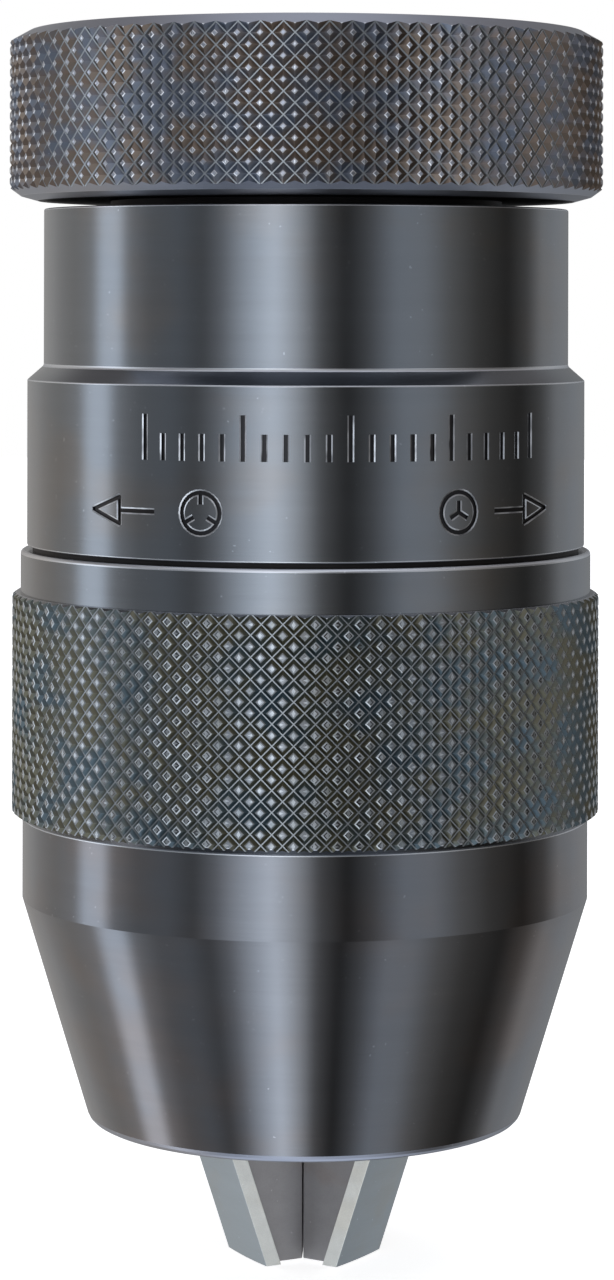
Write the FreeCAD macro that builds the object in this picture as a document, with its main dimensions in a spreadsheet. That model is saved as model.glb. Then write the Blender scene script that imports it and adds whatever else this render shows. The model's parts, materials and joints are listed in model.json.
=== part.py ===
import FreeCAD, Part
import math
import os
import re

import Sketcher

# Keyless two-grip drill chuck.  The origin is the centre of the rear face, where the spindle
# screws in, and +Z points up the spindle.  Every "depth" is measured down from the rear face.
# The jaws are modelled closed.

os.makedirs("parts", exist_ok=True)
document = FreeCAD.newDocument("drill_chuck")

DIMENSIONS = [
    # rear ring, held by hand, fixed to the body
    ("ring_radius", 25), ("ring_end", 14.2),
    ("ring_top_inset", 1.6), ("ring_top_drop", 0.9), ("ring_low_inset", 0.95), ("ring_low_drop", 1.1),
    ("ring_face_inset", 2.4), ("ring_face_drop", 0.4),
    ("hub_radius", 16.5), ("hub_end", 16.6), ("edge_break", 0.3),
    # body
    ("boss_radius", 13.5), ("mount_radius", 6.35), ("mount_depth", 16), ("centre_hole_radius", 2.7),
    ("web_end", 19), ("feed_bore_radius", 10.15), ("flange_radius", 19.6), ("flange_top", 26.6),
    ("flange_end", 31), ("skirt_radius", 15.5), ("skirt_end", 50),
    # thrust bearing
    ("ball_radius", 1.75), ("ball_circle", 16.8), ("ball_depth", 23.3), ("ball_groove_radius", 1.85),
    ("race_thickness", 1.8), ("upper_race_bore", 13.9), ("lower_race_radius", 19.4),
    ("upper_race_top", 20), ("bearing_bore", 20), ("cage_bore", 14.3), ("cage_radius", 19.3),
    ("cage_thickness", 1.4), ("cage_pocket_radius", 1.8),
    # rear sleeve
    ("rear_sleeve_top", 14.87), ("rear_sleeve_radius", 22.1), ("rear_step_top", 28),
    ("rear_step_end", 29.2), ("rear_sleeve_wide", 23.47), ("rear_sleeve_end", 43.07),
    ("lip_bore", 16.8), ("seal_top", 15.4), ("seal_end", 16.6), ("seal_groove_radius", 17.9),
    ("seal_bore", 16.55), ("lip_end", 17.2), ("rear_bush_radius", 15.5), ("rear_bush_bore", 13.55),
    ("washer_top", 31.1), ("washer_bore", 15.8),
    # grip sleeve
    ("spigot_radius", 21.2), ("spigot_top", 32.6), ("collar_radius", 23), ("grip_top", 43.44),
    ("grip_band_radius", 24), ("knurl_top", 47), ("knurl_radius", 24.7), ("grip_end", 65.7),
    ("knurl_inset", 0.7), ("knurl_drop", 0.47), ("front_bush_radius", 18), ("front_bush_bore", 15.55),
    ("front_bush_top", 34), ("front_bush_end", 48), ("bush_seat_end", 50.5),
    ("guide_bore", 20.5), ("hood_seat_top", 54.3), ("hood_thread_radius", 22.3),
    # cone hood; its inner cone drives the jaws inwards
    ("hood_top", 54.5), ("hood_radius", 23.8), ("hood_cone_top", 72.55), ("hood_end", 91.2),
    ("hood_nose_radius", 18.1), ("hood_nose_round", 0.9), ("throat_radius", 10.05), ("jaw_angle", 19.2),
    ("ring_groove_top", 56.2), ("ring_groove_end", 57.4), ("ring_groove_radius", 21.2),
    # jaw guide, its retaining ring and its pins
    ("guide_top", 57.5), ("guide_ring_bore", 18.3), ("guide_ring_end", 61.4), ("guide_radius", 20.4),
    ("guide_fit", 0.02),
    ("carrier_bore", 12.4), ("guide_floor", 78), ("guide_centre_radius", 6.9), ("guide_end", 91),
    ("web_slot_width", 5.1), ("flange_slot_width", 7.2), ("pin_radius", 1), ("pin_depth", 59.5),
    ("snap_gap", 6),
    # feed screw and jaw carrier
    ("screw_radius", 10), ("screw_top", 37.9), ("screw_end", 68.9), ("screw_chamfer", 0.8),
    ("stub_radius", 3.6), ("stub_end", 71.7), ("screw_recess_radius", 3), ("screw_recess_end", 46),
    ("carrier_radius", 12.2), ("carrier_web_end", 71.8), ("carrier_cavity_end", 74.9),
    ("carrier_end", 77.4),
    # jaws: a T section, a V nose on the axis, and a head held by the carrier
    ("jaw_tip", 102.7), ("jaw_flange_top", 80.5), ("jaw_tip_crown", 5.5), ("jaw_crown_radius", 40),
    ("jaw_flange_width", 7), ("jaw_flange_edge", 1.3), ("jaw_web_width", 4.9), ("jaw_back_radius", 11.3),
    ("jaw_neck_top", 74.85), ("jaw_head_top", 71.85), ("jaw_head_width", 6.9),
    ("jaw_gap", 0.06), ("nose_groove_radius", 0.5), ("nose_groove_length", 12),
]
BALL_COUNT = 16
JAW_AZIMUTHS = (-150, -30, 90)

sheet = document.addObject("Spreadsheet::Sheet", "dims")
for row, (alias, number) in enumerate(DIMENSIONS, start=1):
    sheet.set(f"A{row}", alias.replace("_", " "))
    sheet.set(f"B{row}", str(number))
    sheet.setAlias(f"B{row}", alias)
document.recompute()
ALIASES = {alias for alias, number in DIMENSIONS}


def bound(text):
    """The expression with each dimension's name pointing at its cell."""
    return re.sub(r"[a-z_]+", lambda word: f"dims.{word[0]}" if word[0] in ALIASES else word[0], str(text))


def value(text):
    """What an expression is worth now, as a plain number."""
    return float(sheet.evalExpression(bound(text)))


def origin_feature(body, role):
    return next(feature for feature in body.Origin.OriginFeatures if feature.Role == role)


def new_body(label):
    body = document.addObject("PartDesign::Body", label)
    body.Label = label
    return body


def new_sketch(body, name, role, depth=None):
    """An empty sketch on one of the body's own origin planes, or at a depth below XY."""
    sketch = body.newObject("Sketcher::SketchObject", f"{body.Label}_{name}")
    sketch.AttachmentSupport = (origin_feature(body, role), [""])
    sketch.MapMode = "FlatFace"
    if depth is not None:
        sketch.setExpression("AttachmentOffset.Base.z", bound(f"-({depth})"))
    return sketch


def fix(sketch, kind, *where, to):
    """Adds one driving constraint, bound to the sheet."""
    index = sketch.addConstraint(Sketcher.Constraint(kind, *where, value(to)))
    sketch.setExpression(f"Constraints[{index}]", bound(to))


def arc_through(start, end, radius):
    """An arc from start to end that bulges to the right of that direction."""
    chord = end - start
    half = chord.Length / 2
    right = FreeCAD.Vector(chord.y, -chord.x, 0).normalize()
    rise = radius - math.sqrt(radius ** 2 - half ** 2)
    return Part.Arc(start, (start + end) / 2 + right * rise, end)


def outline(body, name, role, points, depth=None, arcs=()):
    """A closed outline; arcs maps the index of a point to the radius of the arc that leaves it."""
    sketch = new_sketch(body, name, role, depth)
    arcs = dict(arcs)
    corners = [FreeCAD.Vector(value(across), value(up), 0) for across, up in points]
    for index, corner in enumerate(corners):
        following = corners[(index + 1) % len(corners)]
        if index in arcs:
            sketch.addGeometry(arc_through(corner, following, value(arcs[index])), False)
        else:
            sketch.addGeometry(Part.LineSegment(corner, following), False)
    # an arc runs anticlockwise whichever way it was drawn, so its own start point is looked up
    ends = []
    for index, corner in enumerate(corners):
        starts_here = (sketch.getPoint(index, 1) - corner).Length < 1e-6
        ends.append((1, 2) if starts_here else (2, 1))
    for index, (across, up) in enumerate(points):
        following = (index + 1) % len(points)
        joined = (index, ends[index][1], following, ends[following][0])
        sketch.addConstraint(Sketcher.Constraint("Coincident", *joined))
        fix(sketch, "DistanceX", -1, 1, index, ends[index][0], to=across)
        fix(sketch, "DistanceY", -1, 1, index, ends[index][0], to=up)
    for index, radius in arcs.items():
        fix(sketch, "Radius", index, to=radius)
    return sketch


def circle(body, name, role, across, up, radius, depth=None):
    sketch = new_sketch(body, name, role, depth)
    centre = FreeCAD.Vector(value(across), value(up), 0)
    sketch.addGeometry(Part.Circle(centre, FreeCAD.Vector(0, 0, 1), value(radius)), False)
    fix(sketch, "Radius", 0, to=radius)
    fix(sketch, "DistanceX", -1, 1, 0, 3, to=across)
    fix(sketch, "DistanceY", -1, 1, 0, 3, to=up)
    return sketch


def turned(label, points, arcs=()):
    """A body turned about Z from (radius, depth) points."""
    body = new_body(label)
    section = [(radius, f"-({depth})") for radius, depth in points]
    profile = outline(body, "profile", "XZ_Plane", section, arcs=arcs)
    revolution = body.newObject("PartDesign::Revolution", f"{label}_turned")
    revolution.Profile = profile
    revolution.ReferenceAxis = (profile, ["V_Axis"])
    revolution.Angle = 360
    document.recompute()
    return body


def ring(label, inner, outer, top, end):
    return turned(label, [(inner, top), (outer, top), (outer, end), (inner, end)])


def groove(body, name, sketch):
    """Cuts a sketch right round the Z axis."""
    cut = body.newObject("PartDesign::Groove", f"{body.Label}_{name}")
    cut.Profile = sketch
    cut.ReferenceAxis = (origin_feature(body, "Z_Axis"), [""])
    cut.Angle = 360
    document.recompute()
    return cut


def extrude(body, kind, name, sketch, length=None, both_sides=False, reverse=False):
    """A Pad or a Pocket; without a length a Pocket goes right through."""
    feature = body.newObject(f"PartDesign::{kind}", f"{body.Label}_{name}")
    feature.Profile = sketch
    feature.SideType = "Symmetric" if both_sides else "One side"
    feature.Reversed = reverse
    if length is None:
        feature.Type = "ThroughAll"
    else:
        feature.setExpression("Length", bound(length))
    document.recompute()
    return feature


def around(body, name, originals, count):
    pattern = body.newObject("PartDesign::PolarPattern", f"{body.Label}_{name}")
    pattern.Originals = originals
    pattern.Axis = (origin_feature(body, "Z_Axis"), [""])
    pattern.Angle = 360
    pattern.Occurrences = count
    body.Tip = pattern
    document.recompute()
    return pattern


def round_edge(body, name, radius, at_radius, at_depth):
    """Fillets the circular edges of one radius at one depth."""
    tip = body.Tip
    picked = [
        f"Edge{number}" for number, edge in enumerate(tip.Shape.Edges, start=1)
        if isinstance(edge.Curve, Part.Circle)
        and abs(edge.Curve.Radius - value(at_radius)) < 1e-4
        and abs(edge.Curve.Center.z + value(at_depth)) < 1e-4
    ]
    fillet = body.newObject("PartDesign::Fillet", f"{body.Label}_{name}")
    fillet.Base = (tip, picked)
    fillet.setExpression("Radius", bound(radius))
    document.recompute()
    return fillet


def turn_to(body, azimuth):
    body.Placement = FreeCAD.Placement(FreeCAD.Vector(), FreeCAD.Rotation(FreeCAD.Vector(0, 0, 1), azimuth))


def hold_assembly():
    """The body, the hand ring pressed on it, and the parts that turn on the body."""
    turned("chuck_body", [
        ("mount_radius", "0"), ("boss_radius - edge_break", "0"), ("boss_radius", "edge_break"),
        ("boss_radius", "flange_top"), ("flange_radius", "flange_top"), ("flange_radius", "flange_end"),
        ("skirt_radius", "flange_end"), ("skirt_radius", "skirt_end"), ("feed_bore_radius", "skirt_end"),
        ("feed_bore_radius", "web_end"), ("centre_hole_radius", "web_end"),
        ("centre_hole_radius", "mount_depth"), ("mount_radius", "mount_depth"),
    ])
    turned("rear_grip_ring", [
        ("boss_radius + edge_break", "0"), ("ring_radius - ring_top_inset", "0"),
        ("ring_radius", "ring_top_drop"), ("ring_radius", "ring_end - ring_low_drop"),
        ("ring_radius - ring_low_inset", "ring_end - ring_face_drop"),
        ("ring_radius - ring_face_inset", "ring_end"), ("hub_radius", "ring_end"),
        ("hub_radius", "hub_end"), ("boss_radius", "hub_end"), ("boss_radius", "edge_break"),
    ])


def thrust_bearing():
    """Two grooved races with caged balls between them, which carry the clamping force."""
    lower_race_top = "flange_top - race_thickness"
    races = [
        ring("lower_race", "boss_radius", "lower_race_radius", lower_race_top, "flange_top"),
        ring("upper_race", "upper_race_bore", "bearing_bore", "upper_race_top",
             "upper_race_top + race_thickness"),
    ]
    for race in races:
        groove(race, "ball_track", circle(race, "ball_section", "XZ_Plane", "ball_circle", "-ball_depth",
                                          "ball_groove_radius"))
    cage = ring("ball_cage", "cage_bore", "cage_radius", "ball_depth - cage_thickness / 2",
                "ball_depth + cage_thickness / 2")
    hole = circle(cage, "hole", "XY_Plane", "ball_circle", "0", "cage_pocket_radius", "ball_depth - cage_thickness")
    around(cage, "pockets", [extrude(cage, "Pocket", "pocket", hole)], BALL_COUNT)

    balls = []
    for number in range(BALL_COUNT):
        azimuth = 360 * number / BALL_COUNT
        ball = document.addObject("Part::Sphere", f"ball_{number + 1}")
        ball.setExpression("Radius", bound("ball_radius"))
        ball.setExpression("Placement.Base.x", bound(f"ball_circle * cos({azimuth} deg)"))
        ball.setExpression("Placement.Base.y", bound(f"ball_circle * sin({azimuth} deg)"))
        ball.setExpression("Placement.Base.z", bound("-ball_depth"))
        balls.append(ball)
    group = document.addObject("Part::Compound", "bearing_balls")
    group.Links = balls


def rear_sleeve():
    """The plain upper sleeve, with its bush, its dust seal and the washer under the body's flange."""
    turned("rear_sleeve", [
        ("lip_bore", "rear_sleeve_top"), ("rear_sleeve_radius - edge_break", "rear_sleeve_top"),
        ("rear_sleeve_radius", "rear_sleeve_top + edge_break"), ("rear_sleeve_radius", "rear_step_top"),
        ("rear_sleeve_wide", "rear_step_end"), ("rear_sleeve_wide", "rear_sleeve_end - edge_break"),
        ("rear_sleeve_wide - edge_break", "rear_sleeve_end"), ("spigot_radius", "rear_sleeve_end"),
        ("spigot_radius", "spigot_top"), ("bearing_bore", "spigot_top"), ("bearing_bore", "upper_race_top"),
        ("rear_bush_radius", "upper_race_top"), ("rear_bush_radius", "lip_end"), ("lip_bore", "lip_end"),
        ("lip_bore", "seal_end"), ("seal_groove_radius", "seal_end"), ("seal_groove_radius", "seal_top"),
        ("lip_bore", "seal_top"),
    ])
    ring("rear_bush", "rear_bush_bore", "rear_bush_radius", "lip_end", "upper_race_top")
    ring("dust_seal", "seal_bore", "seal_groove_radius", "seal_top", "seal_end")
    ring("friction_washer", "washer_bore", "bearing_bore", "washer_top", "spigot_top")


def grip_sleeve():
    """The knurled sleeve turned by hand, screwed into the rear sleeve, and its long bush."""
    turned("grip_sleeve", [
        ("front_bush_radius", "spigot_top"), ("spigot_radius", "spigot_top"),
        ("spigot_radius", "rear_sleeve_end"), ("collar_radius", "rear_sleeve_end"),
        ("collar_radius", "grip_top"), ("grip_band_radius - edge_break", "grip_top"),
        ("grip_band_radius", "grip_top + edge_break"), ("grip_band_radius", "knurl_top"),
        ("knurl_radius - knurl_inset / 2", "knurl_top"), ("knurl_radius", "knurl_top + knurl_drop / 2"),
        ("knurl_radius", "grip_end - knurl_drop"), ("knurl_radius - knurl_inset", "grip_end"),
        ("hood_thread_radius", "grip_end"), ("hood_thread_radius", "hood_seat_top"),
        ("guide_bore", "hood_seat_top"), ("guide_bore", "bush_seat_end"),
        ("front_bush_radius", "bush_seat_end"),
    ])
    ring("front_bush", "front_bush_bore", "front_bush_radius", "front_bush_top", "front_bush_end")


# The hood's inner cone, and the floor of the guide's flange grooves, as radii at a depth
INNER_CONE = "throat_radius + (hood_end - ({})) * tan(jaw_angle * 1 deg)"
JAW_BACK = "jaw_tip_crown + (jaw_tip - ({})) * tan(jaw_angle * 1 deg)"
CROWN_DROP = "(jaw_crown_radius - sqrt(pow(jaw_crown_radius; 2) - pow(jaw_flange_width / 2; 2)))"
FLANGE_DEPTH = f"({CROWN_DROP} + jaw_flange_edge / cos(jaw_angle * 1 deg))"
SLIDE_CLEARANCE = "(web_slot_width - jaw_web_width) / 2"


def cone_hood():
    cone_start = "hood_end - (guide_bore - throat_radius) / tan(jaw_angle * 1 deg)"
    hood = turned("cone_hood", [
        ("guide_bore", "hood_top"), ("hood_thread_radius", "hood_top"), ("hood_thread_radius", "grip_end"),
        ("hood_radius - edge_break", "grip_end"), ("hood_radius", "grip_end + edge_break"),
        ("hood_radius", "hood_cone_top"), ("hood_nose_radius", "hood_end"),
        ("throat_radius", "hood_end"), ("guide_bore", cone_start), ("guide_bore", "ring_groove_end"),
        ("ring_groove_radius", "ring_groove_end"), ("ring_groove_radius", "ring_groove_top"),
        ("guide_bore", "ring_groove_top"),
    ])
    round_edge(hood, "nose_round", "hood_nose_round", "hood_nose_radius", "hood_end")
    pin_hole = circle(hood, "pin_hole", "YZ_Plane", "0", "-pin_depth", "pin_radius")
    around(hood, "pin_holes", [extrude(hood, "Pocket", "pin_bore", pin_hole)], 3)
    turn_to(hood, JAW_AZIMUTHS[1])


def jaw_guide():
    """A slotted cone that fits inside the hood and keeps the jaws a third of a turn apart."""
    guide = turned("jaw_guide", [
        ("guide_ring_bore", "guide_top"), ("guide_radius", "guide_top"), ("guide_radius", "guide_ring_end"),
        (f"{INNER_CONE.format('guide_end')} - guide_fit", "guide_end"),
        ("guide_centre_radius", "guide_end"), ("guide_centre_radius", "guide_floor"),
        ("carrier_bore", "guide_floor"), ("carrier_bore", "guide_ring_end"),
        ("guide_ring_bore", "guide_ring_end"),
    ])
    past_end = "guide_end + edge_break"

    def slot(name, width, top, end):
        section = outline(guide, f"{name}_section", "YZ_Plane", [
            (f"-{width} / 2", f"-({end})"), (f"{width} / 2", f"-({end})"),
            (f"{width} / 2", f"-({top})"), (f"-{width} / 2", f"-({top})"),
        ])
        return extrude(guide, "Pocket", name, section, reverse=True)

    floor = f"({JAW_BACK}) - {FLANGE_DEPTH} - {SLIDE_CLEARANCE}"
    rail = outline(guide, "rail_section", "XZ_Plane", [
        (floor.format(past_end), f"-({past_end})"), ("ring_radius", f"-({past_end})"),
        ("ring_radius", "-guide_ring_end"), (floor.format("guide_ring_end"), "-guide_ring_end"),
    ])
    pin_hole = circle(guide, "pin_hole", "YZ_Plane", "0", "-pin_depth", "pin_radius")
    slots = [
        slot("head_slot", "flange_slot_width", "guide_ring_end", "guide_floor"),
        slot("web_slot", "web_slot_width", "guide_floor", past_end),
        extrude(guide, "Pocket", "flange_rail", rail, "flange_slot_width", both_sides=True),
        extrude(guide, "Pocket", "pin_bore", pin_hole),
    ]
    around(guide, "slots", slots, 3)
    turn_to(guide, JAW_AZIMUTHS[1])

    pins = []
    for number, azimuth in enumerate(JAW_AZIMUTHS, start=1):
        pin = document.addObject("Part::Cylinder", f"key_pin_{number}")
        pin.setExpression("Radius", bound("pin_radius"))
        pin.setExpression("Height", bound("hood_thread_radius - guide_ring_bore - edge_break"))
        outward = FreeCAD.Rotation(FreeCAD.Vector(0, 0, 1), azimuth + 180) * FreeCAD.Vector(1, 0, 0)
        start = outward * value("guide_ring_bore") - FreeCAD.Vector(0, 0, value("pin_depth"))
        pin.Placement = FreeCAD.Placement(start, FreeCAD.Rotation(FreeCAD.Vector(0, 0, 1), outward))
        pins.append(pin)
    group = document.addObject("Part::Compound", "guide_key_pins")
    group.Links = pins

    snap = ring("guide_retaining_ring", "guide_ring_bore", "ring_groove_radius", "ring_groove_top",
                "ring_groove_end")
    gap = outline(snap, "gap_section", "YZ_Plane", [
        ("-snap_gap / 2", "-ring_groove_end - edge_break"), ("snap_gap / 2", "-ring_groove_end - edge_break"),
        ("snap_gap / 2", "-ring_groove_top + edge_break"), ("-snap_gap / 2", "-ring_groove_top + edge_break"),
    ])
    extrude(snap, "Pocket", "gap", gap)


def feed_screw():
    """The left-hand screw and the carrier on its foot, whose radial T slots push and pull the jaws."""
    turned("feed_screw", [
        ("screw_recess_radius", "screw_top"), ("screw_radius - screw_chamfer", "screw_top"),
        ("screw_radius", "screw_top + screw_chamfer"), ("screw_radius", "screw_end - screw_chamfer"),
        ("screw_radius - screw_chamfer", "screw_end"), ("stub_radius", "screw_end"),
        ("stub_radius", "stub_end"), ("0", "stub_end"), ("0", "screw_recess_end"),
        ("screw_recess_radius", "screw_recess_end"),
    ])
    carrier = turned("jaw_carrier", [
        ("stub_radius", "screw_end"), ("carrier_radius - edge_break", "screw_end"),
        ("carrier_radius", "screw_end + edge_break"), ("carrier_radius", "carrier_end - edge_break"),
        ("carrier_radius - edge_break", "carrier_end"), ("stub_radius", "carrier_end"),
    ])
    tee = outline(carrier, "tee_section", "YZ_Plane", [
        ("-web_slot_width / 2", "-carrier_end - edge_break"),
        ("web_slot_width / 2", "-carrier_end - edge_break"),
        ("web_slot_width / 2", "-carrier_cavity_end"), ("flange_slot_width / 2", "-carrier_cavity_end"),
        ("flange_slot_width / 2", "-carrier_web_end"), ("-flange_slot_width / 2", "-carrier_web_end"),
        ("-flange_slot_width / 2", "-carrier_cavity_end"), ("-web_slot_width / 2", "-carrier_cavity_end"),
    ])
    around(carrier, "tee_slots", [extrude(carrier, "Pocket", "tee_slot", tee, reverse=True)], 3)
    turn_to(carrier, JAW_AZIMUTHS[1])


def jaw(number, azimuth):
    """One jaw: it slides along the hood's inner cone, its flange in the guide, its head in the carrier."""
    body = new_body(f"jaw_{number}")
    flange_half = "jaw_flange_width / 2"
    corner = f"jaw_tip_crown - {CROWN_DROP}"
    inner = f"jaw_tip_crown - {FLANGE_DEPTH}"
    section = outline(body, "flange_section", "XY_Plane", [
        (inner, f"-{flange_half}"), (corner, f"-{flange_half}"), (corner, flange_half), (inner, flange_half),
    ], depth="jaw_tip", arcs={1: "jaw_crown_radius"})
    flange = extrude(body, "Pad", "flange", section, "jaw_tip - jaw_flange_top")
    flange.UseCustomVector = True
    flange.Direction = FreeCAD.Vector(math.tan(math.radians(value("jaw_angle"))), 0, 1)
    flange.AlongSketchNormal = True
    document.recompute()

    overlap = "jaw_flange_edge / 2"
    web_back = f"({JAW_BACK}) - {FLANGE_DEPTH} + {overlap}"
    web = outline(body, "web_section", "XZ_Plane", [
        ("0", "-jaw_tip"), (web_back.format("jaw_tip"), "-jaw_tip"),
        (web_back.format("jaw_flange_top"), "-jaw_flange_top"), ("jaw_back_radius", "-jaw_flange_top"),
        ("jaw_back_radius", "-jaw_head_top"), ("0", "-jaw_head_top"),
    ])
    extrude(body, "Pad", "web", web, "jaw_web_width", both_sides=True)
    head = outline(body, "head_section", "XZ_Plane", [
        ("0", "-jaw_neck_top"), ("jaw_back_radius", "-jaw_neck_top"),
        ("jaw_back_radius", "-jaw_head_top"), ("0", "-jaw_head_top"),
    ])
    extrude(body, "Pad", "head", head, "jaw_head_width", both_sides=True)

    # the two flanks, a sixth of a turn either side, leave each jaw its own third of the circle
    reach = "ring_radius"
    rise = f"{reach} * tan(60 deg)"
    flanks = outline(body, "flank_section", "XY_Plane", [
        ("jaw_gap", "0"), (f"jaw_gap + {reach}", rise), (f"-{reach}", rise),
        (f"-{reach}", f"-{rise}"), (f"jaw_gap + {reach}", f"-{rise}"),
    ], depth="jaw_head_top - edge_break")
    extrude(body, "Pocket", "flanks", flanks)
    nose = circle(body, "nose_groove_section", "XY_Plane", "0", "0", "nose_groove_radius",
                  "jaw_tip - nose_groove_length")
    extrude(body, "Pocket", "nose_groove", nose)
    turn_to(body, azimuth)


hold_assembly()
thrust_bearing()
rear_sleeve()
grip_sleeve()
cone_hood()
jaw_guide()
feed_screw()
for jaw_number, jaw_azimuth in enumerate(JAW_AZIMUTHS, start=1):
    jaw(jaw_number, jaw_azimuth)
document.recompute()

for item in document.Objects:
    if {"Invalid", "Error"} & set(item.State):
        raise RuntimeError(f"{item.Name} failed: {item.State}")
    if item.TypeId in ("PartDesign::Pocket", "PartDesign::Groove"):
        removed = item.BaseFeature.Shape.Volume - item.Shape.Volume
        if removed < 1e-3:
            raise RuntimeError(f"{item.Name} cuts nothing")

nodes = [item for item in document.Objects if item.TypeId in ("PartDesign::Body", "Part::Compound")]
for node in nodes:
    shape = node.Shape
    if shape.isNull() or not shape.isValid():
        raise RuntimeError(f"{node.Label} has no valid shape")
for node in nodes:
    node.Shape.exportStep(f"parts/{node.Label}.step")
    box = node.Shape.BoundBox
    print(f"{node.Label:22s} solids {len(node.Shape.Solids):2d} volume {node.Shape.Volume:10.1f}"
          f" depth {-box.ZMax:7.2f} to {-box.ZMin:7.2f} radius {box.XMax:6.2f}")
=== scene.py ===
import json
import math

import bmesh
import bpy
from mathutils import Matrix, Vector


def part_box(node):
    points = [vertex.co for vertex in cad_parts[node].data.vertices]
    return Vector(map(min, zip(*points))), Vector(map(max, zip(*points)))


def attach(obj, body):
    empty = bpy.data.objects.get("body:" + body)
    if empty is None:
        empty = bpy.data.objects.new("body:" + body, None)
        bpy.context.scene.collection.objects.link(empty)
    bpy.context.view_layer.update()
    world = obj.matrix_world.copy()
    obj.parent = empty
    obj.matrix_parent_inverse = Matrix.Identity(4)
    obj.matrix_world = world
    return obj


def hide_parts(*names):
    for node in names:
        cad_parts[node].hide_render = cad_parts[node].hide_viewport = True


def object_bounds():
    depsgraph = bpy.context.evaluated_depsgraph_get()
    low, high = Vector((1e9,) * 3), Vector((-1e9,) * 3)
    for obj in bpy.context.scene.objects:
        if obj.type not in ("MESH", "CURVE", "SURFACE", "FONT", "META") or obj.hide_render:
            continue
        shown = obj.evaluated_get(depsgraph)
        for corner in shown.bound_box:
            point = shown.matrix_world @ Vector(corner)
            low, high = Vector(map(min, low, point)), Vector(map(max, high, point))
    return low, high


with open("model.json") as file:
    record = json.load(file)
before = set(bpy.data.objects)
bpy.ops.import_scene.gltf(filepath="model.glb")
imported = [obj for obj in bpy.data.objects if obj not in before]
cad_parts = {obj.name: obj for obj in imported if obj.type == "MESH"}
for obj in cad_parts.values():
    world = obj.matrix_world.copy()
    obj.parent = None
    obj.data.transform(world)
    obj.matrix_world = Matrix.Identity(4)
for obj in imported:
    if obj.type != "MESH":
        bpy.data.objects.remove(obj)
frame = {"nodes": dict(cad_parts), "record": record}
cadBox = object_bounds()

mm = 0.001
bodies = frame["record"]["behaviour"]["bodies"]
bodyOf = {node: body for body, nodes in bodies.items() for node in nodes}


class Wire:
    # a socket that takes part in sums
    def __init__(self, graph, socket):
        self.graph = graph
        self.socket = socket

    def sum(self, operation, first, second):
        return self.graph.add("ShaderNodeMath", {"operation": operation}, {0: first, 1: second})

    def __add__(self, other):
        return self.sum("ADD", self, other)

    def __sub__(self, other):
        return self.sum("SUBTRACT", self, other)

    def __rsub__(self, other):
        return self.sum("SUBTRACT", other, self)

    def __mul__(self, other):
        return self.sum("MULTIPLY", self, other)

    def __truediv__(self, other):
        return self.sum("DIVIDE", self, other)

    def __mod__(self, other):
        return self.sum("FLOORED_MODULO", self, other)

    __radd__ = __add__
    __rmul__ = __mul__

    def clamped(self, low=0.0, high=1.0):
        return self.graph.add("ShaderNodeClamp", {}, {"Value": self, "Min": low, "Max": high})

    def between(self, low, high):
        # 0 at low, 1 at high, smooth in between
        sockets = {"Value": self, "From Min": low, "From Max": high}
        return self.graph.add("ShaderNodeMapRange", {"interpolation_type": "SMOOTHSTEP"}, sockets)


class Graph:
    def __init__(self, tree):
        self.tree = tree

    def add(self, kind, settings, sockets, output=0):
        node = self.tree.nodes.new(kind)
        for name, setting in settings.items():
            if name == "stops":
                self.fillRamp(node.color_ramp, setting)
            else:
                setattr(node, name, setting)
        for name, given in sockets.items():
            socket = node.inputs[name]
            if isinstance(given, Wire):
                self.tree.links.new(given.socket, socket)
            else:
                socket.default_value = given
        return Wire(self, node.outputs[output]) if node.outputs else None

    def fillRamp(self, ramp, stops):
        while len(ramp.elements) < len(stops):
            ramp.elements.new(0.5)
        for element, (position, tint) in zip(ramp.elements, stops):
            element.position = position
            element.color = (*tint, 1)

    def other(self, wire, output):
        # another output of the node that a wire comes from
        return Wire(self, wire.socket.node.outputs[output])

    def mix(self, factor, first, second):
        # a Mix node's colours are its sockets 6 and 7, and its colour result is output 2
        sockets = {0: factor, 6: first, 7: second}
        return self.add("ShaderNodeMix", {"data_type": "RGBA"}, sockets, 2)

    def shade(self, tint, factor):
        # a colour made lighter or darker by a number
        grey = self.add("ShaderNodeCombineXYZ", {}, {0: factor, 1: factor, 2: factor})
        return self.add("ShaderNodeVectorMath", {"operation": "MULTIPLY"}, {0: tint, 1: grey})


def colour(red, green, blue):
    return (red, green, blue, 1)


steelBase = {
    "cool": colour(0.190, 0.204, 0.224),    # blued, hardened steel
    "warm": colour(0.218, 0.196, 0.180),    # where the bluing has gone brown
    "patchSize": 16,                        # mm
    "patchFlatness": 1.4,                   # how much shorter the patches are along the part
    "patchContrast": 0.5,
    "warmShare": 0.35,
    "roughness": 0.165,
    "roughnessSpread": 0.03,
    "smudgeScale": 0.22,                    # per mm
    "lineSpacing": 0.07,                    # mm between grinding lines
    "lineDrift": 0.02,                      # how far the lines wander
    "lineDepth": 0.0006,                    # mm
    "lineShade": 0.10,
    "lineRoughness": 0.04,
    "wideScale": 0.9,                       # per mm, the broad turning marks
    "specks": 0.5,
    "speckScale": 2.6,                      # per mm
    "speckShine": 0.8,
    "metal": 1.0,
    "crest": 0,                             # mm, the radius of a knurl's tips, or 0 for no knurl
    "depth": 0,                             # mm, from the tips to the grooves
    # painted shade on the knurl's flanks
    "flankShade": 0.26,
    "worn": colour(0.90, 0.91, 0.93),       # painted highlight on knurl tips and on engraving rims
    "highlightScale": 0.8,                       # per mm
    "highlightPolish": 0.06,
    "groove": colour(0.31, 0.33, 0.35),     # painted highlight along the floors of the grooves
}


def millimetres(graph):
    place = graph.add("ShaderNodeTexCoord", {}, {}, "Object")
    return graph.add("ShaderNodeVectorMath", {"operation": "SCALE"}, {0: place, "Scale": 1 / mm})


def stretched(graph, vector, across, along):
    factors = (across, across, along)
    return graph.add("ShaderNodeVectorMath", {"operation": "MULTIPLY"}, {0: vector, 1: factors})


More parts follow.
